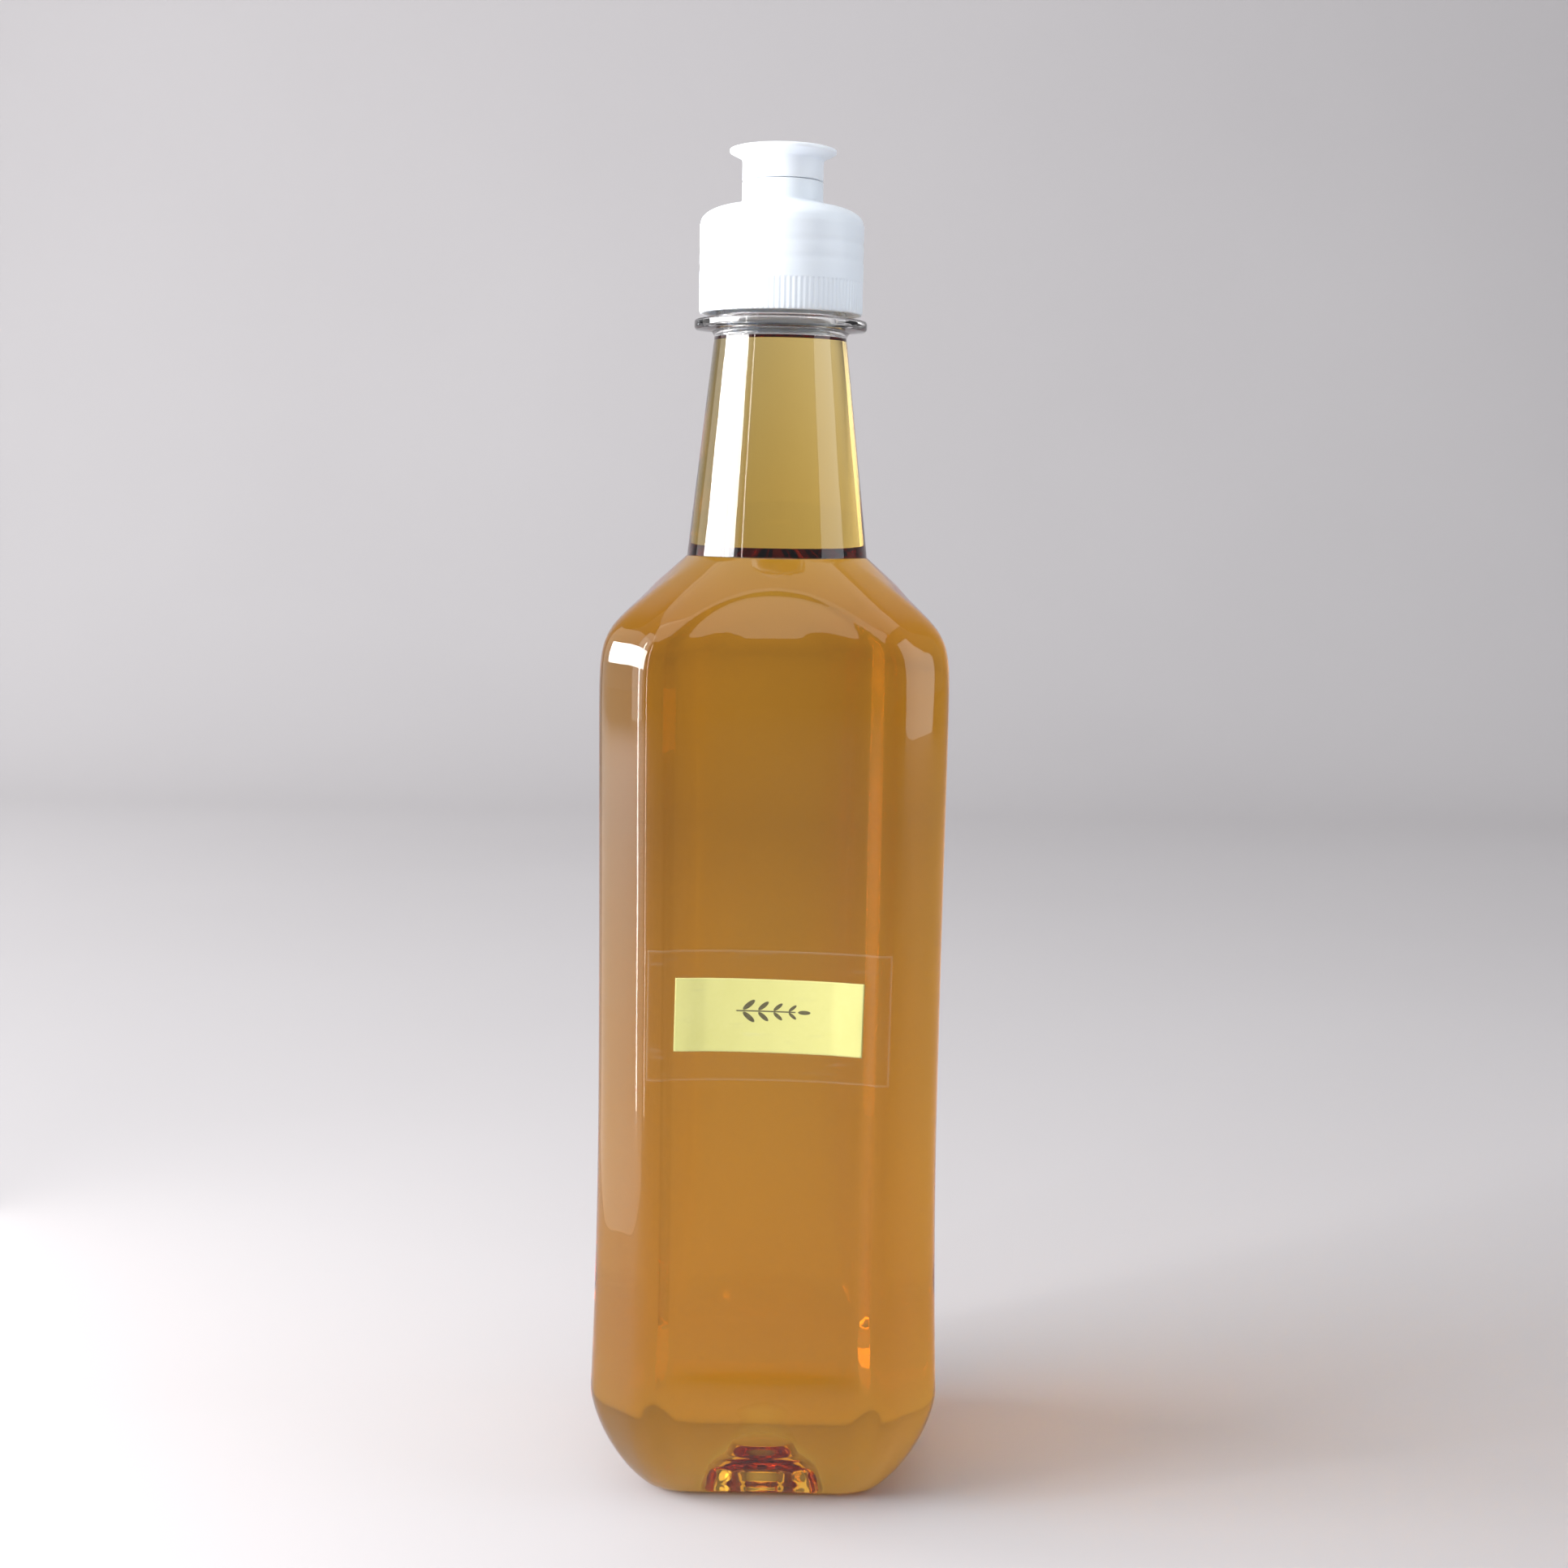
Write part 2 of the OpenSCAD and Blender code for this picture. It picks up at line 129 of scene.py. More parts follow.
# Neck, support ring and threaded finish
NECK_R = 12.64
RING_R = 16.5
RING_Z = MOUTH_Z - 19.6
RING_T = 1.9
BORE_R = 10.87
FINISH_R = 12.47
THREAD_R = 13.72
PITCH = 3.18
THREAD_START_Z = MOUTH_Z - 11.5
THREAD_TURNS = 1.6
RIDGE_BASE = 1.5
RIDGE_CREST = 0.7

# Cap
SKIRT_R = CAP_HIGH[0]
SKIRT_Z = CAP_LOW[2]
SKIRT_IN_R = 14.05
THREAD_IN_R = 12.8
KNURL_TOP_Z = SKIRT_Z + 5.95
KNURL_COUNT = 96
KNURL_DEPTH = 0.13
LINE_DEPTH = 0.09
LINE_TURNS = 2.3
DOME_Z = MOUTH_Z + 0.3
DOME_RISE = 3.4
DOME_EDGE = 0.15
SPOUT_FLOOR_Z = MOUTH_Z + 1.5
CEILING_R = 8.2
STEM_R = 7.68
SEAM_Z = MOUTH_Z + 8.1
LIP_H = 1.1
SLEEVE_R = 6.3
BEAD_R = SLEEVE_R + 0.4
TUBE_OUT_R = 5.0
TUBE_IN_R = 3.9
TUBE_TOP_Z = SEAM_Z + 1.6
PLUG_R = 1.7
GAP = 0.08

# Spout
TOP_Z = SPOUT_HIGH[2]
FLANGE_R = SPOUT_HIGH[0]
FLANGE_Z = TOP_Z - 1.6
SPOUT_FOOT_Z = SPOUT_LOW[2]

# Label and tape
LABEL_W = 35.8
LABEL_H = 13.9
LABEL_Z = (LABEL_LOW[2] + LABEL_HIGH[2]) / 2
LABEL_TILT = math.radians(1.0)
TAPE_W = 45.2
TAPE_H = 24.6
PAPER_T = 0.14
FILM_T = 0.07

AROUND = 280


# ---------------------------------------------------------------- shape rules
def smooth(x):
    """0 below 0 and 1 above 1, with a soft S between them."""
    t = np.clip(x, 0, 1)
    return t * t * (3 - 2 * t)


def foot_share(z):
    """How far the outline has grown from the foot to the full body: 1 from the taper up."""
    t = np.clip(1 - z / TAPER_H, 0, 1)
    return (1 - t**FOOT_CURVE) ** FOOT_BULGE


def flare(z):
    """Extra half-width of the straight body: a parabola either side of the waist."""
    z = np.clip(z, TAPER_H, FLARE_TOP_Z)
    below = FOOT_FLARE * ((WAIST_Z - z) / (WAIST_Z - FLARE_LOW_Z)) ** 2
    above = TOP_FLARE * ((z - WAIST_Z) / (FLARE_TOP_Z - WAIST_Z)) ** 2
    return np.where(z < WAIST_Z, below, above)


def foot_draw(z):
    """How far the rounded bottom edge draws in: a quarter circle up to its radius."""
    return FOOT_ROUND - np.sqrt(FOOT_ROUND**2 - np.clip(FOOT_ROUND - z, 0, FOOT_ROUND) ** 2)


def shoulder_share(z):
    """0 at the crease and 1 where the body is full: a straight slope that bends over."""
    d = (CREASE_Z - z) * SHOULDER_SLOPE
    bent = (1 / np.maximum(d, 1e-4) ** SHOULDER_BEND + 1) ** (-1 / SHOULDER_BEND)
    return np.where(d > 0, bent, d)


def panel_depth(u, z):
    """Depth of a side's sunken panel: a soft step inside its arched border, and a hollow
    across it that follows a parabola."""
    mid_z = ARCH_TOP_Z - ARCH_RISE
    arch = (1 - np.hypot(u / ARCH_HALF, (z - mid_z) / ARCH_RISE)) * ARCH_SCALE
    inset = np.minimum(PANEL_HALF - np.abs(u), np.where(z < mid_z, HOLLOW_SOFT + 1, arch))
    inset = np.minimum(inset, (z - SILL_Z) * SILL_SLOPE)
    hollow = smooth(inset / HOLLOW_SOFT) * np.maximum(0, 1 - (u / PANEL_HALF) ** 2)
    return PANEL_STEP * smooth(inset / PANEL_SOFT) + PANEL_HOLLOW * hollow


def plane_d(z, foot_d, full_d):
    """Distance of one side plane from the axis at height z."""
    return foot_d + (full_d + flare(z) - foot_d) * foot_share(z) - foot_draw(z)


def outline(a, z, inset):
    """Radius in direction a, in degrees, of a square cut by bevels and chamfers: the planes'
    distances joined by a high-power mean, which rounds the edges a little. inset moves the
    flat sides inward."""
    side_a = np.round(a / 90) * 90
    corner_a = np.round((a - 45) / 90) * 90 + 45
    total = 0
    for plane_a, d in (
        (side_a, plane_d(z, BASE_HALF, BODY_HALF) - inset),
        (side_a + BEVEL_A, plane_d(z, BASE_BEVEL_D, BEVEL_D)),
        (side_a - BEVEL_A, plane_d(z, BASE_BEVEL_D, BEVEL_D)),
        (corner_a, plane_d(z, BASE_CHAMFER_D, CHAMFER_D)),
    ):
        pull = np.maximum(np.cos(np.radians(a - plane_a)), 0) * POWER_R / d
        total = total + pull**CORNER_POWER
    return POWER_R * total ** (-1 / CORNER_POWER)


def neck_radius(z):
    """The neck's straight cone, from just under the crease up to the support ring."""
    z = np.maximum(z, CREASE_Z - 2)
    return CREASE_R + (NECK_R - CREASE_R) * (z - CREASE_Z) / (RING_Z - 1.2 - CREASE_Z)


def skin_radius(a, z):
    """Outer radius of the moulded body in direction a at height z: the round neck spreads
    to the square outline down the shoulder, panels and all. Where the neck's cone is wider it
    takes over, with a soft crease between the two."""
    a, z = np.broadcast_arrays(np.asarray(a, float), np.asarray(z, float))
    side_a = np.round(a / 90) * 90
    share = shoulder_share(z)
    plain = CREASE_R + (outline(a, z, 0) - CREASE_R) * share
    u = plain * np.sin(np.radians(a - side_a))
    inset = panel_depth(u, z) / np.maximum(share, 0.3)
    body = CREASE_R + (outline(a, z, inset) - CREASE_R) * share
    neck = neck_radius(z)
    gap = np.abs(body - neck)
    return np.maximum(body, neck) + np.maximum(CREASE_SOFT - gap, 0) ** 2 / (4 * CREASE_SOFT)


def push_height(r):
    """Height of the push-up at radius r: a blunt dome, nearly an ellipse, with two soft round
    steps in it and a fillet at its foot."""
    r = np.asarray(r, float)
    dome = (1 - np.clip(r / DOME_R, 0, 1) ** DOME_POWER) ** (1 / DOME_POWER)
    steps = smooth((STEP_IN_R - r) / STEP_W + 0.5) + smooth((STEP_OUT_R - r) / STEP_W + 0.5)
    fillet = FILLET_SHARE * smooth((PUSH_R - r) / (PUSH_R - DOME_R + 0.6))
    return PUSH_H * ((1 - STEP_SHARE - FILLET_SHARE) * dome + STEP_SHARE / 2 * steps + fillet)


def ridge(a, z, start_z, turns=THREAD_TURNS):
    """Height, from 0 to 1, of a helical ridge at direction a in degrees and height z: a
    trapezium across the helix, fading out at both ends."""
    turn = (z - start_z) / PITCH - (a % 360) / 360
    whole = np.round(turn)
    off = np.abs(turn - whole) * PITCH
    along = whole * 360 + a % 360
    flank = np.clip((RIDGE_BASE / 2 - off) / ((RIDGE_BASE - RIDGE_CREST) / 2), 0, 1)
    fade = np.clip(np.minimum(along, turns * 360 - along) / 30, 0, 1)
    return smooth(flank) * fade


# ---------------------------------------------------------------- mesh helpers
def rounded_outline(corners, steps=5):
    """Points along straight runs between corners (r, z, radius), where each corner with a
    radius is an arc that touches both runs."""
    points = []
    for i, (r, z, radius) in enumerate(corners):
        here = np.array([r, z])
        if radius == 0 or i in (0, len(corners) - 1):
            points.append(here)
            continue
        back = np.array(corners[i - 1][:2]) - here
        on = np.array(corners[i + 1][:2]) - here
        back_len, on_len = np.linalg.norm(back), np.linalg.norm(on)
        back, on = back / back_len, on / on_len
        half = math.acos(np.clip(back @ on, -1, 1)) / 2
        reach = min(radius / math.tan(half), back_len * 0.49, on_len * 0.49)
        radius = reach * math.tan(half)
        bisector = (back + on) / np.linalg.norm(back + on)
        middle = here + bisector * radius / math.sin(half)
        first, last = here + back * reach - middle, here + on * reach - middle
        a0 = math.atan2(first[1], first[0])
        swing = (math.atan2(last[1], last[0]) - a0 + math.pi) % (2 * math.pi) - math.pi
        for t in np.linspace(0, 1, steps):
            a = a0 + swing * t
            points.append(middle + radius * np.array([math.cos(a), math.sin(a)]))
    return np.array(points)


def refine(points, step, low_z, high_z):
    """The same outline with more points on the runs that lie between two heights."""
    out = [points[:1]]
    for p, q in zip(points[:-1], points[1:]):
        inside = low_z - 1e-6 <= min(p[1], q[1]) and max(p[1], q[1]) <= high_z + 1e-6
        count = max(1, math.ceil(np.linalg.norm(q - p) / step)) if inside else 1
        t = np.linspace(0, 1, count + 1)[1:, None]
        out.append(p + (q - p) * t)
    return np.concatenate(out)


def directions(count):
    """Directions around the axis in degrees, starting at the middle of the left side."""
    return np.arange(count) * 360 / count - 180


def rings(radius, z, count):
    """Points at radius and height z in each direction. radius and z are one value a ring,
    or one a point."""
    a = np.radians(directions(count))[None, :]
    radius, z = (v if np.ndim(v) == 2 else np.atleast_1d(v).reshape(-1, 1) for v in (radius, z))
    radius = np.broadcast_to(radius, (len(radius), count))
    z = np.broadcast_to(z, radius.shape)
    return np.stack([radius * np.cos(a), radius * np.sin(a), z], axis=-1)


def skin_rings(heights, inset):
    """Rings of the moulded body's surface at each height, moved in by inset."""
    z = np.asarray(heights, float)[:, None]
    a = directions(AROUND)[None, :]
    return rings(skin_radius(a, z) - inset, np.broadcast_to(z, (len(heights), AROUND)), AROUND)


def flat_rings(inner_r, outer_ring, z, count):
    """Rings that change from a circle to an outline on one level, without either end."""
    circle = rings([inner_r], [z], outer_ring.shape[0])[0]
    t = np.linspace(0, 1, count + 2)[1:-1, None, None]
    out = circle[None] + (outer_ring[None] - circle[None]) * t
    out[..., 2] = z
    return out


def stack_mesh(rows, low=None, high=None):
    """Points, quads and triangles of a closed skin through rows of rings. The first ring
    closes on the point low and the last one on high, or, with neither, on each other."""
    count, around = rows.shape[:2]
    points = rows.reshape(-1, 3)
    j = np.arange(around)
    k = (j + 1) % around
    bands = count if low is None else count - 1
    p = (np.arange(bands) * around)[:, None]
    q = ((np.arange(bands) + 1) % count * around)[:, None]
    quads = np.stack([p + j, p + k, q + k, q + j], axis=-1).reshape(-1, 4)
    if low is None:
        return points, quads, np.zeros((0, 3), int)
    total = len(points)
    points = np.concatenate([points, [low, high]])
    last = total - around
    tris = np.concatenate([
        np.stack([np.full(around, total), k, j], axis=-1),
        np.stack([last + j, last + k, np.full(around, total + 1)], axis=-1)])
    return points, quads, tris


def sheet_mesh(back, front):
    """Points and quads of a thin closed sheet. back and front are grids of points, with
    columns to the right and rows upward as seen from the front."""
    rows, cols = back.shape[:2]
    n = rows * cols
    grid = np.arange(n).reshape(rows, cols)
    a, b, c, d = grid[:-1, :-1], grid[:-1, 1:], grid[1:, 1:], grid[1:, :-1]
    face = np.stack([a, b, c, d], axis=-1).reshape(-1, 4)
    rim = np.concatenate([grid[0], grid[1:, -1], grid[-1, -2::-1], grid[-2:0:-1, 0]])
    nxt = np.roll(rim, -1)
    edge = np.stack([rim, nxt, n + nxt, n + rim], axis=-1)
    points = np.concatenate([back.reshape(-1, 3), front.reshape(-1, 3)])
    return points, np.concatenate([face[:, ::-1], face + n, edge]), np.zeros((0, 3), int)


def joined(*parts):
    """Several closed skins as one set of points, quads and triangles."""
    points, quads, tris, start = [], [], [], 0
    for p, q, t in parts:
        points.append(p)
        quads.append(q + start)
        tris.append(t + start)
        start += len(p)
    return np.concatenate(points), np.concatenate(quads), np.concatenate(tris)


def add_piece(name, shape, body, nodes, material, plan=None, second=None):
    """A finished piece: its mesh in metres, its material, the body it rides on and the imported
    nodes it stands for. plan gives each point's place on a flat sheet. second
    is another material and, for each face, whether it wears it."""
    points, quads, tris = shape
    loops = np.concatenate([quads.ravel(), tris.ravel()]).astype(np.int32)
    sizes = np.concatenate([np.full(len(quads), 4), np.full(len(tris), 3)])
    starts = np.concatenate([[0], np.cumsum(sizes)[:-1]]).astype(np.int32)
    mesh = bpy.data.meshes.new(name)
    mesh.vertices.add(len(points))
    mesh.vertices.foreach_set("co", (points * MM).astype(np.float32).ravel())
    mesh.loops.add(len(loops))
    mesh.loops.foreach_set("vertex_index", loops)
    mesh.polygons.add(len(sizes))
    mesh.polygons.foreach_set("loop_start", starts)
    mesh.polygons.foreach_set("use_smooth", np.ones(len(sizes), bool))
    mesh.materials.append(material)
    if second is not None:
        mesh.materials.append(second[0])
        mesh.polygons.foreach_set("material_index", second[1].astype(np.int32))
    mesh.update(calc_edges=True)
    mesh.validate()
    if plan is not None:
        uv = mesh.uv_layers.new(name="Sheet")
        uv.data.foreach_set("uv", plan[loops].astype(np.float32).ravel())
    piece = bpy.data.objects.new(name, mesh)
    bpy.context.scene.collection.objects.link(piece)
    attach(piece, body)
    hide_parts(*nodes)
    return piece


# ---------------------------------------------------------------- shader helpers
class Value:
    """A shader socket that can be used in sums. An expression adds its Math nodes."""

    def __init__(self, paint, link):
        self.paint, self.link = paint, link

    def math(self, operation, *others):
        terms = dict(enumerate((self, *others)))
        return self.paint.node("ShaderNodeMath", {"operation": operation}, terms)

    def __add__(self, other):
        return self.math("ADD", other)

    __radd__ = __add__

    def __mul__(self, other):
        return self.math("MULTIPLY", other)

    __rmul__ = __mul__

    def __sub__(self, other):
        return self.math("SUBTRACT", other)

    def __rsub__(self, other):
        return self.paint.node("ShaderNodeMath", {"operation": "SUBTRACT"}, {0: other, 1: self})

    def __truediv__(self, other):
        return self.math("DIVIDE", other)

    def clamp(self):
        return self.math("MINIMUM", 1.0).math("MAXIMUM", 0.0)


class Paint:
    """One material and the nodes that make it."""

    def __init__(self, name):
        self.material = bpy.data.materials.new(name)
        self.material.use_nodes = True
        self.tree = self.material.node_tree
        self.tree.nodes.clear()

    def node(self, kind, settings=None, values=None, out=0):
        """Adds a node: its settings first, then the values or links of its sockets. out
        names the socket that is given back."""
        made = self.tree.nodes.new(kind)
        for key, value in (settings or {}).items():
            setattr(made, key, value)
        for key, value in (values or {}).items():
            if isinstance(value, Value):
                self.tree.links.new(value.link, made.inputs[key])
            else:
                made.inputs[key].default_value = value
        return Value(self, made.outputs[out])

    def place(self, scale=(1, 1, 1)):
        """Object coordinates, stretched by scale."""
        here = self.node("ShaderNodeTexCoord", out="Object")
        return self.node("ShaderNodeMapping", None, {"Vector": here, "Scale": scale})

    def noise(self, where, scale, detail=2.0, roughness=0.5):
        """Cloudy noise around 0.5."""
        return self.node("ShaderNodeTexNoise", None, {
            "Vector": where, "Scale": scale, "Detail": detail, "Roughness": roughness}, "Fac")

    def sheet(self):
        """Places across and up on the piece's own flat sheet, in millimetres."""
        across = self.node("ShaderNodeSeparateXYZ", None, {
            "Vector": self.node("ShaderNodeUVMap", {"uv_map": "Sheet"})}, "X")
        return across, Value(self, across.link.node.outputs["Y"])

    def blend(self, share, first, second):
        """A colour between two others."""
        return self.node("ShaderNodeMix", {"data_type": "RGBA"}, {0: share, 6: first, 7: second}, 2)

    def bump(self, height, strength, distance):
        """A surface normal raised by height."""
        return self.node("ShaderNodeBump", None, {
            "Height": height, "Strength": strength, "Distance": distance}, "Normal")

    def finish(self, surface, volume=None):
        """Ends the material on its shader."""
        values = {"Surface": surface}
        if volume is not None:
            values["Volume"] = volume
        end = self.tree.nodes.new("ShaderNodeOutputMaterial")
        for key, value in values.items():
            self.tree.links.new(value.link, end.inputs[key])
        return self.material


# ---------------------------------------------------------------- materials
CLEAR_IOR = 1.5
OIL_COLOUR = (0.905, 0.722, 0.02, 1)
OIL_DENSITY = 74.0


def clear_plastic():
    """Clear moulded plastic: upright flow lines from the blowing, and faint hazy scuffs."""
    p = Paint("clear_plastic")
    flow = p.noise(p.place((1, 1, 0.07)), 150, 2.0)
    waves = p.noise(p.place((1, 1, 0.5)), 38, 1.0)
    scuff = ((p.noise(p.place((1, 1, 2.2)), 420, 4.0, 0.7) - 0.6) * 5).clamp()
    rub = (p.noise(p.place(), 60, 2.0) - 0.35).clamp()
    return p.finish(p.node("ShaderNodeBsdfPrincipled", None, {
        "Base Color": p.blend(scuff * 0.3, (0.99, 0.99, 0.985, 1), (0.94, 0.94, 0.94, 1)),
        "Roughness": 0.004 + scuff * rub * 0.12,
        "IOR": CLEAR_IOR,
        "Transmission Weight": 1.0,
        "Normal": p.bump(flow * 0.35 + waves, 0.16, 0.0012)}))


def wet_plastic():
    """The inside of the clear wall where oil lies against it. Oil and plastic bend light
    alike, so nothing shows there but a faint unevenness."""
    p = Paint("wet_plastic")
    cloud = p.noise(p.place(), 90, 2.0)
    return p.finish(p.node("ShaderNodeBsdfTransparent", None, {
        "Color": p.blend(cloud, (1, 1, 1, 1), (0.985, 0.985, 0.98, 1))}))


def oil_liquid():
    """Clear amber oil: it takes blue out first, then green, so thin parts are golden and
    thick ones brown. It bends light at its open surface; against the wall, which bends it
    alike, it only tints it."""
    p = Paint("amber_oil")
    haze = p.noise(p.place((1, 1, 0.6)), 45, 3.0)
    tint = p.blend(haze, (1, 1, 1, 1), (0.985, 0.98, 0.965, 1))
    open_share = p.sheet()[0]
    against = p.node("ShaderNodeBsdfPrincipled", None, {
        "Base Color": tint, "Roughness": 0.0, "IOR": 1.0, "Transmission Weight": 1.0})
    surface = p.node("ShaderNodeBsdfPrincipled", None, {
        "Base Color": tint, "Roughness": haze * 0.01, "IOR": CLEAR_IOR, "Transmission Weight": 1.0})
    volume = p.node("ShaderNodeVolumeAbsorption", None, {"Color": OIL_COLOUR, "Density": OIL_DENSITY})
    return p.finish(p.node("ShaderNodeMixShader", None, {0: open_share, 1: against, 2: surface}), volume)


def white_plastic(name, tone):
    """White moulded plastic, slightly see-through: a fine satin grain, small rubs that shine
    and a little grime that dulls it."""
    p = Paint(name)
    grain = p.noise(p.place(), 2600, 3.0, 0.6)
    rub = ((p.noise(p.place((1, 1, 0.4)), 210, 4.0, 0.65) - 0.5) * 4).clamp()
    cloud = p.noise(p.place(), 55, 3.0)
    dull = tuple(c * f for c, f in zip(tone, (0.95, 0.955, 0.96))) + (1,)
    return p.finish(p.node("ShaderNodeBsdfPrincipled", None, {
        "Base Color": p.blend((cloud * 0.7 + rub * 0.3).clamp(), tone + (1,), dull),
        "Roughness": 0.3 + cloud * 0.14 - rub * 0.08,
        "IOR": 1.5,
        "Subsurface Weight": 0.35,
        "Subsurface Radius": (1.0, 1.05, 1.15),
        "Subsurface Scale": 0.0016,
        "Normal": p.bump(grain + rub * 0.5, 0.12, 0.00006)}))


def liner_foam():
    """Pale foam of the sealing ring: fine cells."""
    p = Paint("liner_foam")
    cells = p.node("ShaderNodeTexVoronoi", {"feature": "F1"}, {"Vector": p.place(), "Scale": 2200.0}, "Distance")
    return p.finish(p.node("ShaderNodeBsdfPrincipled", None, {
        "Base Color": p.blend(cells.clamp(), (0.9, 0.9, 0.87, 1), (0.8, 0.8, 0.77, 1)),
        "Roughness": 0.75 + cells * 0.15,
        "Normal": p.bump(cells, 0.3, 0.0001)}))


# The printed sprig, in millimetres from the label's middle
SPRIG_UP = 0.9
LEAF_PAIRS = 4


def sprig_leaves():
    """Leaves in pairs along a level stem, each pair a little smaller than the one before, and
    one at the tip: across, up, length, width and turn in degrees."""
    for i in range(LEAF_PAIRS):
        across = -5.2 + i * 2.9
        size = 1 - 0.12 * i
        for way in (1, -1):
            yield across + 1.2, SPRIG_UP + way * 1.15 * size, 1.55 * size, 0.52 * size, way * 38
    yield 7.0, SPRIG_UP, 1.3, 0.42, 0


def label_paper():
    """Pale-yellow paper with fibres, printed with a plain leafy sprig. Its edges are a
    little darker, and the ink isn't quite even."""
    p = Paint("label_paper")
    across, up = p.sheet()
    ink = 0
    for x, y, length, width, turn in sprig_leaves():
        c, s = math.cos(math.radians(turn)), math.sin(math.radians(turn))
        dx, dy = across - x, up - y
        along = (dx * c + dy * s) / length
        aside = (dy * c - dx * s) / width
        leaf = ((1 - (along * along + aside * aside)) * 4).clamp()
        ink = leaf + ink
    stem = ((0.17 - (up - SPRIG_UP).math("ABSOLUTE")) * 12).clamp()
    stem = stem * ((6.0 - (across + 0.6).math("ABSOLUTE")) * 4).clamp()
    fibre = p.noise(p.place((1, 1, 1)), 1500, 5.0, 0.7)
    cloud = p.noise(p.place(), 90, 2.0)
    mottle = (fibre * 0.6 + cloud * 0.5 - 0.1).clamp()
    paper = p.blend(mottle, (0.66, 0.63, 0.20, 1), (0.76, 0.73, 0.31, 1))
    edge_x = (across.math("ABSOLUTE") - (LABEL_W / 2 - 0.5)) * 1.5
    edge_y = (up.math("ABSOLUTE") - (LABEL_H / 2 - 0.5)) * 1.5
    worn = p.blend((edge_x.math("MAXIMUM", edge_y)).clamp() * 0.35, paper, (0.72, 0.66, 0.28, 1))
    inked = ((ink + stem).clamp() * (0.78 + fibre * 0.3)).clamp()
    return p.finish(p.node("ShaderNodeBsdfPrincipled", None, {
        "Base Color": p.blend(inked, worn, (0.07, 0.055, 0.03, 1)),
        "Roughness": 0.62 + fibre * 0.2,
        "Normal": p.bump(fibre, 0.2, 0.00008)}))


def clear_tape():
    """Clear film: see-through, glossy, a little milky where it isn't stuck down at its edges."""
    p = Paint("clear_tape")
    across, up = p.sheet()
    edge_x = (across.math("ABSOLUTE") - (TAPE_W / 2 - 0.45)) * 3
    edge_y = (up.math("ABSOLUTE") - (TAPE_H / 2 - 0.45)) * 3
    edge = edge_x.math("MAXIMUM", edge_y).clamp()
    streak = p.noise(p.place((1, 1, 5)), 120, 3.0)
    milk = (edge * 0.03 + (streak - 0.6).clamp() * 0.15 + 0.001).clamp()
    gloss = p.node("ShaderNodeFresnel", None, {"IOR": 1.45})
    clear = p.node("ShaderNodeBsdfTransparent", None, {"Color": (0.99, 0.99, 0.985, 1)})
    dull = p.node("ShaderNodeBsdfPrincipled", None, {
        "Base Color": p.blend(streak, (0.95, 0.95, 0.93, 1), (0.85, 0.85, 0.82, 1)),
        "Roughness": 0.4 + streak * 0.2})
    shine = p.node("ShaderNodeBsdfPrincipled", None, {
        "Base Color": p.blend(streak, (1, 1, 1, 1), (0.94, 0.94, 0.94, 1)),
        "Roughness": 0.04 + streak * 0.1,
        "Metallic": 1.0,
        "Normal": p.bump(streak, 0.12, 0.0003)})
    film = p.node("ShaderNodeMixShader", None, {0: milk, 1: clear, 2: dull})
    return p.finish(p.node("ShaderNodeMixShader", None, {0: (gloss * 0.1).clamp(), 1: film, 2: shine}))


def floor_paint():
    """Pale matt floor and backdrop."""
    p = Paint("studio_floor")
    cloud = p.noise(p.place(), 3.0, 3.0)
    return p.finish(p.node("ShaderNodeBsdfPrincipled", None, {
        "Base Color": p.blend(cloud, (0.42, 0.40, 0.405, 1), (0.46, 0.44, 0.445, 1)),
        "Roughness": 0.7 + cloud * 0.1}))


# ---------------------------------------------------------------- pieces
def body_heights(fine):
    """Heights of the rings from the table to just above the crease, closest together where
    the surface bends."""
    foot = FOOT_ROUND * (1 - np.cos(np.linspace(0, np.pi / 2, fine(8))))
    taper = np.linspace(FOOT_ROUND, TAPER_H + 1, fine(22))[1:]
    sill = np.linspace(TAPER_H + 2, TAPER_H + 14, fine(12))
    straight = np.linspace(TAPER_H + 19, CREASE_Z - 30, fine(14))
    shoulder = np.linspace(CREASE_Z - 25, CREASE_Z - 1.2, fine(52))
    crease = CREASE_Z + np.array([-0.9, -0.6, -0.35, -0.2, -0.1, -0.03, 0.03, 0.1, 0.2, 0.35, 0.6, 1.0, 1.5])
    return np.concatenate([foot, taper, sill, straight, shoulder, crease])


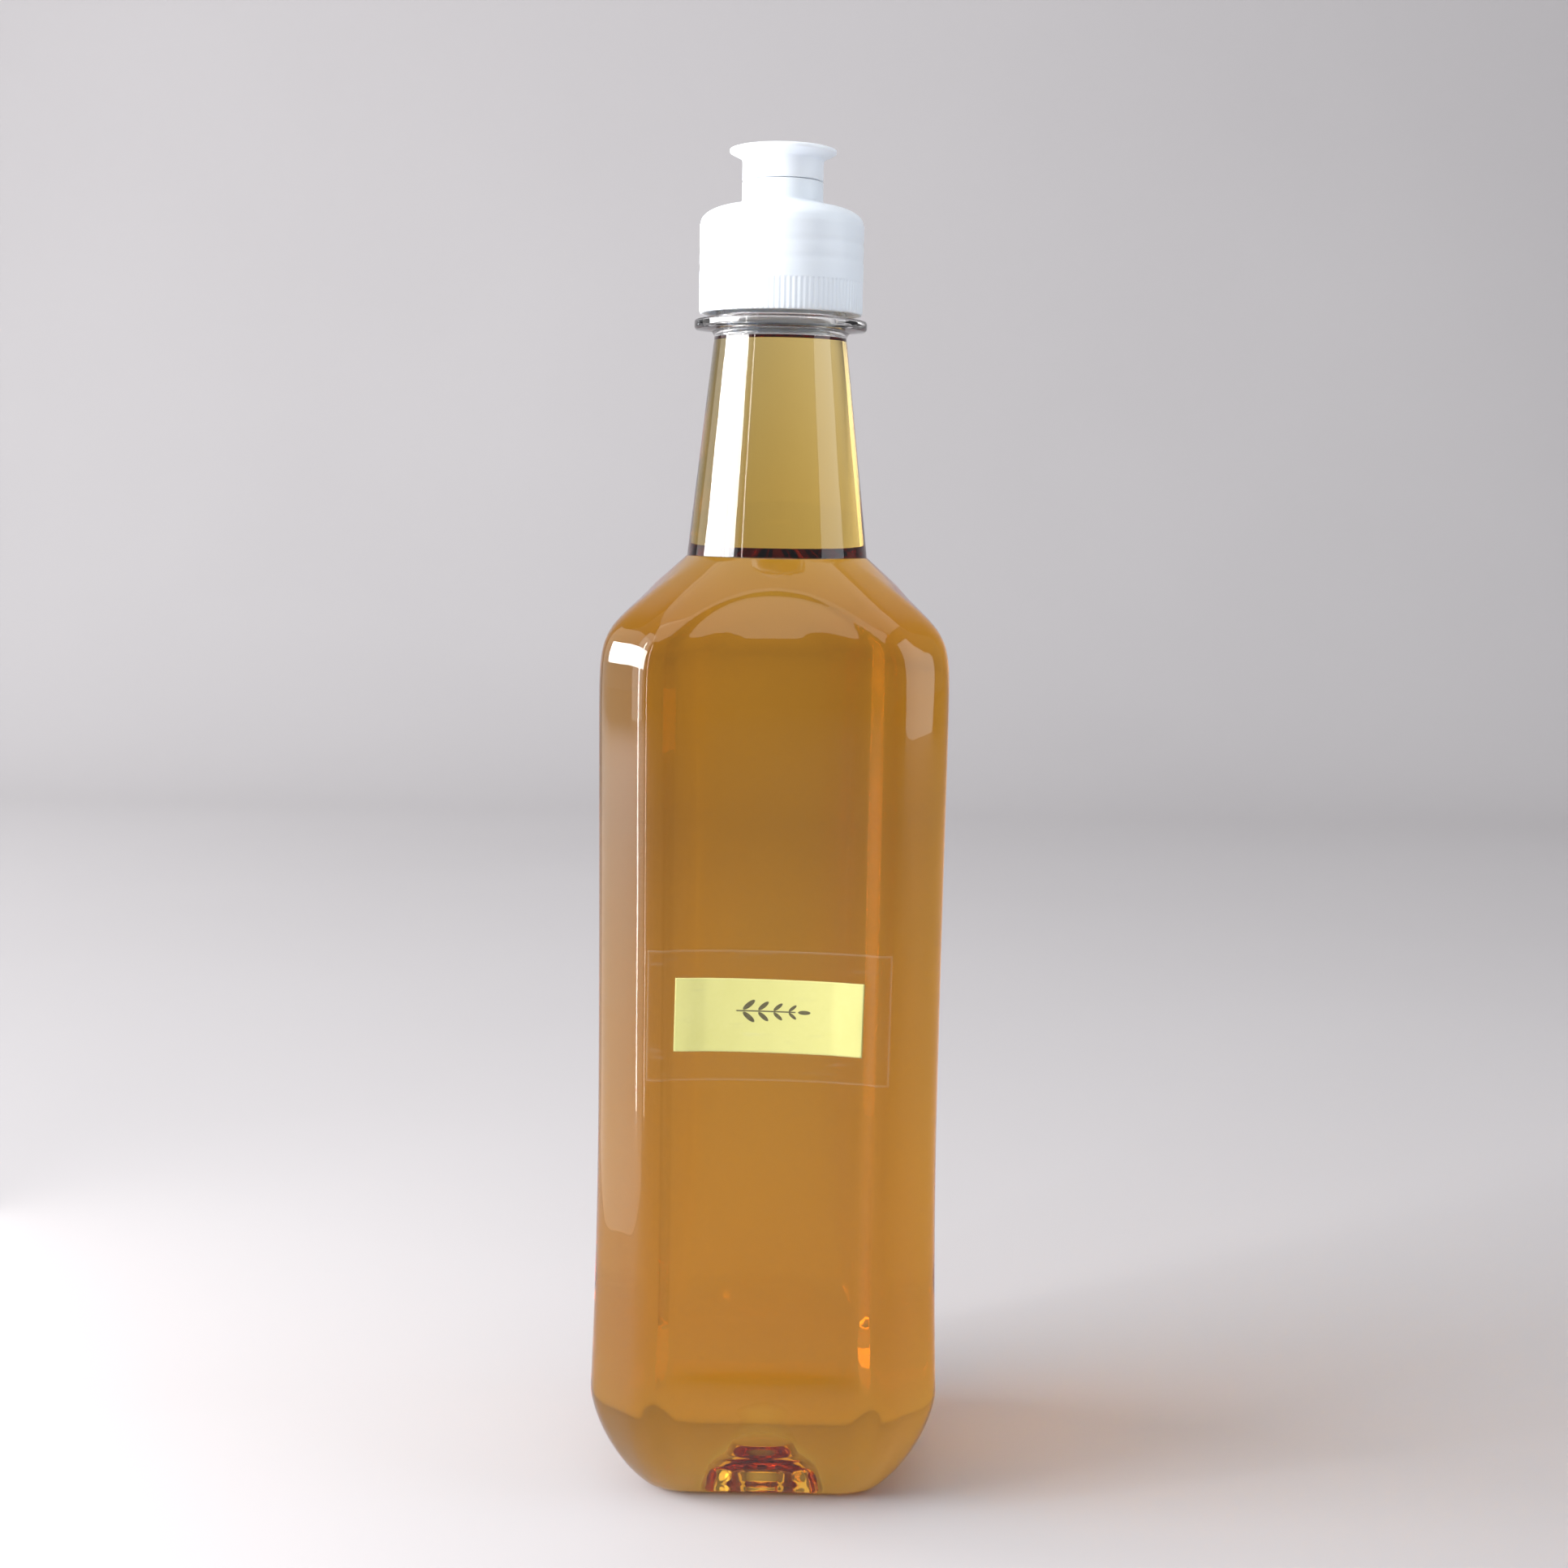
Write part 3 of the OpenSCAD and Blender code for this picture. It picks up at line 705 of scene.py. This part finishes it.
def make_bottle(material, wet_material):
    """Outside: up from the middle of the base over the push-up, foot, panels, shoulder, neck,
    support ring and threads to the mouth. Inside: down the bore and the inner wall, one wall
    thickness in, and over the floor to its middle."""
    a = directions(AROUND)[None, :]
    push_r = np.linspace(0.5, PUSH_R, PUSH_RINGS)
    heights = body_heights(lambda n: n)
    outer_skin = skin_rings(heights, 0)
    finish = rounded_outline([
        (neck_radius(CREASE_Z + 6), CREASE_Z + 6, 0),
        (neck_radius(RING_Z - 14), RING_Z - 14, 0),
        (NECK_R, RING_Z - 1.2, 1.0),
        (NECK_R + 0.5, RING_Z - 0.35, 0.4),
        (RING_R - 0.4, RING_Z, 0.3),
        (RING_R, RING_Z + 0.4, 0.4),
        (RING_R, RING_Z + RING_T, 0.5),
        (FINISH_R + 0.3, RING_Z + RING_T + 0.1, 0.4),
        (FINISH_R, RING_Z + RING_T + 0.6, 0.3),
        (FINISH_R, MOUTH_Z - 4.6, 0),
        (FINISH_R, MOUTH_Z, 0.6),
        (BORE_R, MOUTH_Z, 0.5),
        (BORE_R, OIL_Z + MENISCUS_H, 0),
        (NECK_R - WALL - 0.2, RING_Z - 7, 3.0),
        (neck_radius(CREASE_Z + 1.5) - WALL, CREASE_Z + 1.5, 0)], 6)
    finish = refine(finish, 0.24, THREAD_START_Z - 1.5, MOUTH_Z - 4.6)
    finish = refine(finish, 2.5, CREASE_Z, RING_Z - 0.5)
    r, z = finish[:-1, 0][:, None], finish[:-1, 1][:, None]
    on_thread = np.abs(r - FINISH_R) < 1e-6
    r = r + np.where(on_thread, (THREAD_R - FINISH_R) * ridge(a, z, THREAD_START_Z), 0)
    turned = rings(r, np.broadcast_to(z, r.shape), AROUND)
    inner_z = body_heights(lambda n: max(4, n * 4 // 8))
    inner_z = np.concatenate([[FLOOR_T + 0.05], inner_z[inner_z > FLOOR_T + 0.5]])[::-1]
    inner_skin = skin_rings(inner_z, WALL)
    rows = np.concatenate([
        rings(push_r, push_height(push_r), AROUND),
        flat_rings(PUSH_R, outer_skin[0], 0.0, 2),
        outer_skin, turned, inner_skin,
        flat_rings(PUSH_R, inner_skin[-1], FLOOR_T, 2)[::-1],
        rings(push_r[::-2], push_height(push_r[::-2]) + FLOOR_T, AROUND)])
    top = float(push_height(0.0))
    shape = stack_mesh(rows, (0, 0, top), (0, 0, top + FLOOR_T))
    first_in = PUSH_RINGS + 2 + len(outer_skin) + int(np.argmax(finish[:, 1])) + 1
    row_of = np.concatenate([
        np.repeat(np.arange(len(rows) - 1), AROUND), np.zeros(AROUND, int),
        np.full(AROUND, len(rows) - 1)])
    low_z = rows[..., 2].max(axis=1)
    wet = (row_of > first_in) & (low_z[row_of] <= OIL_Z + MENISCUS_H + 1e-6)
    return add_piece("clear_bottle", shape, "bottle", ["bottle"], material,
                     second=(wet_material, wet))


def make_oil(material):
    """The oil: the inner wall's own shape, a hair further in, closed by a level surface that
    climbs the neck a little at its edge. Its sheet marks the points of that surface with 1."""
    push_r = np.linspace(0.5, PUSH_R, 30)
    z = body_heights(lambda n: max(4, n * 4 // 8))
    z = np.concatenate([[FLOOR_T + OIL_GAP], z[z > FLOOR_T + 0.5]])
    skin = skin_rings(z, WALL + OIL_GAP)
    neck = rounded_outline([
        (neck_radius(CREASE_Z + 1.5) - WALL - OIL_GAP, CREASE_Z + 1.5, 0),
        (NECK_R - WALL - 0.2 - OIL_GAP, RING_Z - 7, 3.0),
        (BORE_R - OIL_GAP, OIL_Z + MENISCUS_H, 0)], 6)
    neck = refine(neck, 2.5, CREASE_Z, RING_Z)[1:]
    t = np.linspace(0, 1, 12)[1:]
    top_r = BORE_R - OIL_GAP - MENISCUS_W * t
    top_z = OIL_Z + MENISCUS_H * (1 - t) ** 2.2
    inner_r = np.array([7.0, 4.0, 1.0])
    walls = np.concatenate([
        rings(push_r, push_height(push_r) + FLOOR_T + OIL_GAP, AROUND),
        flat_rings(PUSH_R, skin[0], FLOOR_T + OIL_GAP, 2),
        skin, rings(neck[:, 0], neck[:, 1], AROUND)])
    top = np.concatenate([rings(top_r, top_z, AROUND), rings(inner_r, np.full(3, OIL_Z), AROUND)])
    shape = stack_mesh(np.concatenate([walls, top]),
                       (0, 0, float(push_height(0.0)) + FLOOR_T + OIL_GAP), (0, 0, OIL_Z))
    on_top = np.zeros(len(shape[0]))
    on_top[len(walls) * AROUND:] = 1
    floor_middle = -2
    on_top[floor_middle] = 0
    plan = np.stack([on_top, on_top], axis=-1)
    return add_piece("amber_oil", shape, "bottle", ["oil"], material, plan)


def dome_outline(count):
    """The dome's outer line: a quarter ellipse from the skirt in to the stem."""
    t = np.radians(np.linspace(0, 78, count))
    r = STEM_R + (SKIRT_R - DOME_EDGE - STEM_R) * np.cos(t)
    return np.stack([r, DOME_Z + DOME_RISE * np.sin(t)], axis=-1)


def make_cap(material):
    """The screw cap as one turned wall. Ribs are cut into its lower skirt, the thread stands
    in from its inside, and faint sunk lines follow the thread on the outside. A post on three
    ribs stands in the spout tube."""
    around = KNURL_COUNT * 5
    a = directions(around)[None, :]
    outside = rounded_outline([
        (SKIRT_IN_R, SKIRT_Z, 0), (SKIRT_R - 0.2, SKIRT_Z, 0.2), (SKIRT_R - 0.05, SKIRT_Z + 0.5, 0),
        (SKIRT_R - 0.02, KNURL_TOP_Z - 0.5, 0), (SKIRT_R, KNURL_TOP_Z - 0.12, 0), (SKIRT_R, KNURL_TOP_Z, 0),
        (SKIRT_R, KNURL_TOP_Z + 0.2, 0), (SKIRT_R, KNURL_TOP_Z + 0.5, 0), (SKIRT_R, DOME_Z - 0.4, 0)])
    outside = refine(outside, 0.42, KNURL_TOP_Z + 0.5, DOME_Z)
    top = rounded_outline([
        (STEM_R + 0.9, DOME_Z + 3.65, 0), (STEM_R + 0.02, DOME_Z + 3.95, 0.9), (STEM_R, DOME_Z + 5, 0),
        (STEM_R, SEAM_Z, 0.3), (SLEEVE_R + GAP, SEAM_Z, 0.15), (SLEEVE_R + GAP, SEAM_Z - LIP_H, 0.1),
        (BEAD_R + GAP, SEAM_Z - LIP_H - 0.4, 0.1), (BEAD_R + GAP, SPOUT_FLOOR_Z, 0.3),
        (TUBE_OUT_R, SPOUT_FLOOR_Z, 0.3), (TUBE_OUT_R, TUBE_TOP_Z, 0.3), (TUBE_IN_R, TUBE_TOP_Z, 0.3),
        (TUBE_IN_R, SPOUT_FLOOR_Z - 1.2, 0.3), (CEILING_R, SPOUT_FLOOR_Z - 1.2, 0.3),
        (CEILING_R, LAND_Z, 0.1), (SKIRT_IN_R, LAND_Z, 0.4), (SKIRT_IN_R, SKIRT_Z + 0.3, 0)], 4)
    inner_z = np.linspace(LAND_Z - 5.5, SKIRT_Z + 0.6, 46)
    inside = np.stack([np.full(len(inner_z), SKIRT_IN_R), inner_z], axis=-1)
    profile = np.concatenate([outside, dome_outline(14), top[:-1], inside])
    r, z = profile[:, 0][:, None], profile[:, 1][:, None]
    first_dome = len(outside)
    row = np.arange(len(profile))[:, None]
    on_skirt = (row > 0) & (row < first_dome)
    groove = 0.5 + 0.5 * np.cos(np.radians(a * KNURL_COUNT))
    cut = KNURL_DEPTH * groove**1.5 * smooth((KNURL_TOP_Z - z) / 0.15)
    sunk = LINE_DEPTH * ridge(a, z, KNURL_TOP_Z + 1.0, LINE_TURNS)
    r = r - np.where(on_skirt, cut + sunk, 0)
    on_inner = row >= len(profile) - len(inner_z)
    thread = (SKIRT_IN_R - THREAD_IN_R) * ridge(a, z, THREAD_START_Z - PITCH / 2)
    r = r - np.where(on_inner, thread, 0)
    wall = stack_mesh(rings(r, np.broadcast_to(z, r.shape), around))
    post_top = TOP_Z - 0.5
    post_line = rounded_outline([
        (0.3, SPOUT_FLOOR_Z, 0), (PLUG_R, SPOUT_FLOOR_Z, 0.2), (PLUG_R, post_top, 0.35), (0.3, post_top, 0)])
    post = stack_mesh(rings(post_line[:, 0], post_line[:, 1], 64), (0, 0, SPOUT_FLOOR_Z), (0, 0, post_top))
    ribs = [rib_mesh(turn) for turn in (0, 120, 240)]
    shape = joined(wall, post, *ribs)
    return add_piece("screw_cap", shape, "cap", ["cap_base"], material)


def rib_mesh(turn):
    """One flat rib from the post to the tube's wall: rounded rectangles along its length."""
    half, height, corner = 0.45, 4.0, 0.2
    t = np.radians(np.arange(24) * 15 + 7.5)
    side = np.clip(np.cos(t) * 2, -1, 1) * half
    up = np.clip(np.sin(t) * 2, -1, 1) * (height / 2)
    length = np.array([1.0, 1.5, 2.5, 3.5, TUBE_IN_R + 0.3])
    draw = np.array([corner, 0, 0, 0, corner])[:, None]
    rows = np.stack([
        np.broadcast_to(length[:, None], (5, 24)),
        side * (1 - draw), SPOUT_FLOOR_Z + height / 2 + up * (1 - draw * 0.1)], axis=-1)
    c, s = math.cos(math.radians(turn)), math.sin(math.radians(turn))
    x, y = rows[..., 0].copy(), rows[..., 1].copy()
    rows[..., 0], rows[..., 1] = x * c - y * s, x * s + y * c
    ends = [(length[i] * c, length[i] * s, SPOUT_FLOOR_Z + height / 2) for i in (0, -1)]
    return stack_mesh(rows, *ends)


def make_spout(material):
    """The pull spout: a turned sleeve with a snap bead at its foot, a closed roof with a hole
    in it, and a thin flange that flares out of the stem."""
    hole_r = PLUG_R + GAP
    in_r = TUBE_OUT_R + GAP
    roof_z = TUBE_TOP_Z + 0.8
    line = rounded_outline([
        (in_r, SPOUT_FOOT_Z + 0.2, 0), (in_r + 0.4, SPOUT_FOOT_Z, 0.2), (BEAD_R, SPOUT_FOOT_Z, 0.15),
        (BEAD_R, SPOUT_FOOT_Z + 0.6, 0.15), (SLEEVE_R, SPOUT_FOOT_Z + 1.0, 0.15), (SLEEVE_R, SEAM_Z + 0.1, 0.1),
        (STEM_R, SEAM_Z + 0.1, 0.25), (STEM_R, FLANGE_Z - 1.0, 0), (STEM_R + 0.1, FLANGE_Z - 0.5, 0.8),
        (STEM_R + 0.9, FLANGE_Z - 0.05, 0.8), (FLANGE_R - 0.9, FLANGE_Z + 0.25, 0.5),
        (FLANGE_R, FLANGE_Z + 0.7, 0.25), (FLANGE_R, TOP_Z - 0.3, 0.25), (FLANGE_R - 0.9, TOP_Z, 0.6),
        (FLANGE_R - 2.2, TOP_Z, 0),
        (FLANGE_R - 3.0, TOP_Z - 0.25, 0.6), (hole_r + 0.5, TOP_Z - 0.3, 0.5), (hole_r, TOP_Z - 0.75, 0.2),
        (hole_r, roof_z + 1, 0.2), (in_r - 0.9, roof_z, 0.2), (in_r, roof_z, 0.1)], 6)
    shape = stack_mesh(rings(line[:, 0], line[:, 1], 192))
    return add_piece("pull_spout_sleeve", shape, "spout", ["pull_spout"],
                     material)


def sheet_grid(width, height, cols, rows):
    """Places across and up on a flat sheet around its middle, as two grids."""
    return np.meshgrid(
        np.linspace(-width / 2, width / 2, cols), np.linspace(-height / 2, height / 2, rows))


def front_points(across, up, out, tilt):
    """Points on the front of the bottle, out millimetres off it. across and up are measured
    on the sheet from the label's middle, and tilt turns the sheet clockwise."""
    z = LABEL_Z + up - across * math.tan(tilt)
    u = across + up * math.tan(tilt)
    a = np.degrees(np.arctan2(u, plane_d(z, BASE_HALF, BODY_HALF)))
    r = skin_radius(a, z) + out
    t = np.radians(a)
    return np.stack([r * np.sin(t), -r * np.cos(t), z], axis=-1)


def make_label(material):
    """The paper: a thin sheet on the hollow front panel, with its right edge lifting and
    the faintest cockle."""
    across, up = sheet_grid(LABEL_W, LABEL_H, 121, 49)
    lift = 0.04 + 0.12 * smooth((across - LABEL_W / 2 + 2.5) / 2.5)
    lift = lift + 0.012 * np.sin(across * 0.9 + 0.4) * np.cos(up * 0.6)
    back = front_points(across, up, lift, LABEL_TILT)
    front = front_points(across, up, lift + PAPER_T, LABEL_TILT)
    plan = np.stack([across.ravel(), up.ravel()], axis=-1)
    return add_piece("paper_label", sheet_mesh(back, front), "bottle", ["label"],
                     material, np.concatenate([plan, plan]))


def make_tape(material):
    """The film: it lies on the panel and climbs over the label, with fine creases where it
    is pressed over the panel's border at each end."""
    across, up = sheet_grid(TAPE_W, TAPE_H, 221, 101)
    over_x = smooth((LABEL_W / 2 + 1.1 - np.abs(across)) / 0.9)
    over_y = smooth((LABEL_H / 2 + 1.1 - np.abs(up)) / 0.9)
    over = np.minimum(over_x, over_y) * (PAPER_T + 0.17)
    ends = smooth((np.abs(across) - 19.0) / 1.5)
    crease = 0.07 * ends * (0.5 + 0.5 * np.sin(up * 3.1 + 0.8 * np.sin(up * 0.9) + np.sign(across)))
    ripple = 0.012 * (1 + np.sin(across * 0.55 + up * 0.35) * np.cos(up * 0.8))
    out = 0.04 + over + crease + ripple
    tilt = LABEL_TILT * 0.5
    back = front_points(across, up, out, tilt)
    front = front_points(across, up, out + FILM_T, tilt)
    plan = np.stack([across.ravel(), up.ravel()], axis=-1)
    return add_piece("clear_label_tape", sheet_mesh(back, front), "bottle", ["label_tape"],
                     material, np.concatenate([plan, plan]))


# ---------------------------------------------------------------- studio
def make_stage(material):
    """Floor and backdrop in one sheet: level, then a quarter circle up to a plain wall."""
    front, bend_at, bend_r, high, half, cols = -1.6, 0.9, 0.5, 2.4, 2.6, 9
    t = np.linspace(0, np.pi / 2, 24)
    y = np.concatenate([[front, 0.0], bend_at + bend_r * np.sin(t), [bend_at + bend_r]])
    z = np.concatenate([[0.0, 0.0], bend_r * (1 - np.cos(t)), [high]])
    x = np.linspace(-half, half, cols)
    points = np.stack(np.broadcast_arrays(x[None, :], y[:, None], z[:, None]), axis=-1)
    grid = np.arange(len(y) * cols).reshape(-1, cols)
    quads = np.stack([grid[:-1, :-1], grid[:-1, 1:], grid[1:, 1:], grid[1:, :-1]], axis=-1).reshape(-1, 4)
    mesh = bpy.data.meshes.new("studio_floor")
    mesh.from_pydata(points.reshape(-1, 3).tolist(), [], quads.tolist())
    mesh.polygons.foreach_set("use_smooth", np.ones(len(mesh.polygons), bool))
    mesh.materials.append(material)
    floor = bpy.data.objects.new("studio_floor", mesh)
    bpy.context.scene.collection.objects.link(floor)


def add_light(name, azimuth, distance, height, size, watts, colour, aim_height=0.12):
    """A soft rectangular light that faces the bottle. azimuth is in degrees from the front,
    positive to the left as seen by the camera."""
    a = math.radians(azimuth)
    lamp = bpy.data.lights.new(name, "AREA")
    lamp.shape = "RECTANGLE"
    lamp.size, lamp.size_y = size
    lamp.energy = watts
    lamp.color = colour
    light = bpy.data.objects.new(name, lamp)
    bpy.context.scene.collection.objects.link(light)
    where = np.array([-math.sin(a) * distance, -math.cos(a) * distance, height])
    back = where - np.array([0, 0, aim_height])
    back /= np.linalg.norm(back)
    right = np.cross([0, 0, 1], back)
    right /= np.linalg.norm(right)
    up = np.cross(back, right)
    light.matrix_world = Matrix([
        [right[0], up[0], back[0], where[0]], [right[1], up[1], back[1], where[1]],
        [right[2], up[2], back[2], where[2]], [0, 0, 0, 1]])


def light_studio():
    """A wide window at the left, a near card and two narrow strips that draw the corner
    edges, a cool fill at the right, soft light from above and an even pale room."""
    add_light("window_left", 82, 1.3, 0.52, (1.3, 0.5), 38, (0.97, 0.985, 1.0))
    add_light("window_low", 72, 1.3, 0.6, (0.72, 1.9), 9, (0.97, 0.985, 1.0))
    add_light("card_left", 86, 0.2, 0.17, (0.3, 0.34), 0.38, (1.0, 0.975, 0.96), 0.17)
    add_light("strip_left", 66, 0.31, 0.19, (0.018, 0.38), 0.36, (1.0, 1.0, 1.0), 0.19)
    add_light("strip_front", 44, 0.31, 0.19, (0.010, 0.38), 0.12, (1.0, 1.0, 1.0), 0.19)
    add_light("fill_right", -78, 1.2, 0.5, (0.8, 1.4), 8, (0.88, 0.94, 1.0))
    add_light("soft_front", 20, 0.75, 1.7, (1.6, 1.2), 10, (1.0, 0.985, 0.96))
    add_light("overhead", 10, -0.5, 2.1, (2.0, 1.6), 8, (1.0, 1.0, 1.0))
    world = bpy.data.worlds.new("room")
    world.use_nodes = True
    world.node_tree.nodes["Background"].inputs["Color"].default_value = (0.93, 0.95, 1.0, 1)
    world.node_tree.nodes["Background"].inputs["Strength"].default_value = 0.36
    bpy.context.scene.world = world


def add_camera():
    """A camera at arm's length, just above the level of the shoulder, tipped down a little
    and rolled about a degree sideways."""
    distance, height, aside = 0.4262, 0.1925, 0.0021
    tip_down, roll = math.radians(7.51), math.radians(0.96)
    lens = bpy.data.cameras.new("camera")
    lens.sensor_width = 36.0
    lens.lens = 50.3
    lens.clip_start = 0.02
    camera = bpy.data.objects.new("camera", lens)
    bpy.context.scene.collection.objects.link(camera)
    turn = Matrix.Rotation(math.pi / 2 - tip_down, 4, "X") @ Matrix.Rotation(roll, 4, "Z")
    camera.matrix_world = Matrix.Translation((aside, -distance, height)) @ turn
    bpy.context.scene.camera = camera


# ---------------------------------------------------------------- assembly
add_camera()
light_studio()
make_stage(floor_paint())
white = white_plastic("white_cap", (0.79, 0.84, 0.90))
make_bottle(clear_plastic(), wet_plastic())
make_oil(oil_liquid())
make_cap(white)
make_spout(white_plastic("white_spout", (0.82, 0.855, 0.90)))
make_label(label_paper())
make_tape(clear_tape())

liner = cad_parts["cap_liner"]
foam = liner_foam()
liner.data.materials.clear()
liner.data.materials.append(foam)

scene = bpy.context.scene
scene.view_settings.view_transform = "Standard"
# Enough bounces for light to cross the wall and the oil, and come back out
scene.cycles.max_bounces = 24
scene.cycles.transmission_bounces = 24
scene.cycles.glossy_bounces = 8
scene.cycles.transparent_max_bounces = 24
